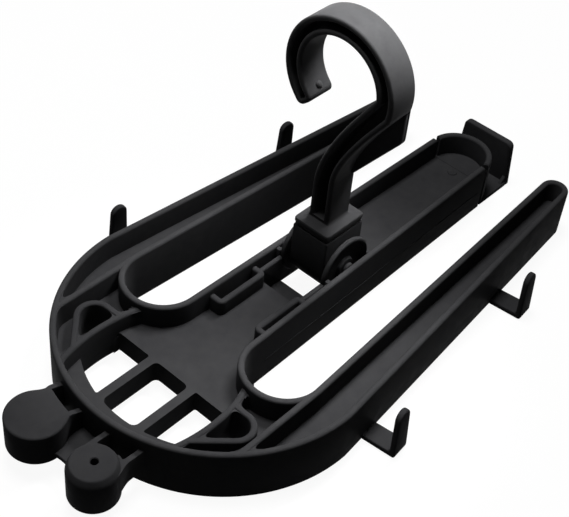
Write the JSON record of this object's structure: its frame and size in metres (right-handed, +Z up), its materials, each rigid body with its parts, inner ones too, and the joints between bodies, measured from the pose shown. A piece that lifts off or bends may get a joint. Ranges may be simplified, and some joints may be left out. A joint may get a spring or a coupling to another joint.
{
  "type": "drysuit hanger",
  "caption": "Flat moulded hanger for a drysuit hung by its boots: two long open slots, four glove pegs, a grille end and a swivelling hook that folds down into the frame",
  "frame": {"origin": "middle of the whole hanger's underside, on the plane it lies on", "axes": "+X to the right arm, +Y from the round grille end to the open end of the slots, +Z up along the raised hook"},
  "size_m": [0.2902, 0.4938, 0.2479],
  "materials": {
    "frame_plastic": "satin",
    "hook_plastic": "satin",
    "steel": "satin"
  },
  "bodies": {
    "frame": {"frame_round_end": "frame_plastic", "frame_right_arm": "frame_plastic", "frame_left_arm": "frame_plastic", "frame_spine": "frame_plastic", "end_stop": "frame_plastic", "end_stop_rivet": "frame_plastic", "plain_boss": "frame_plastic", "holed_boss": "frame_plastic", "boss_web": "frame_plastic", "glove_peg_near_right": "frame_plastic", "glove_peg_near_left": "frame_plastic", "glove_peg_far_right": "frame_plastic", "glove_peg_far_left": "frame_plastic"},
    "fold_block": {"pivot_block": "frame_plastic", "cheek_right": "frame_plastic", "cheek_left": "frame_plastic", "fold_axle": "steel", "axle_spacer_right": "frame_plastic", "axle_spacer_left": "frame_plastic"},
    "hook": {"hook": "hook_plastic", "wear_plate": "hook_plastic", "swivel_stud": "steel", "swivel_washer": "steel", "swivel_nut": "steel"}
  },
  "joints": [
    {"name": "hook_fold", "type": "hinge", "parent": "frame", "child": "fold_block", "pos_m": [0, 0.0294, 0.038], "axis": [1, 0, 0], "range_deg": [0, 90]},
    {"name": "hook_swivel", "type": "hinge", "parent": "fold_block", "child": "hook", "pos_m": [0, 0.0294, 0.0727], "axis": [0, 0, 1], "range_deg": [0, 360]}
  ]
}
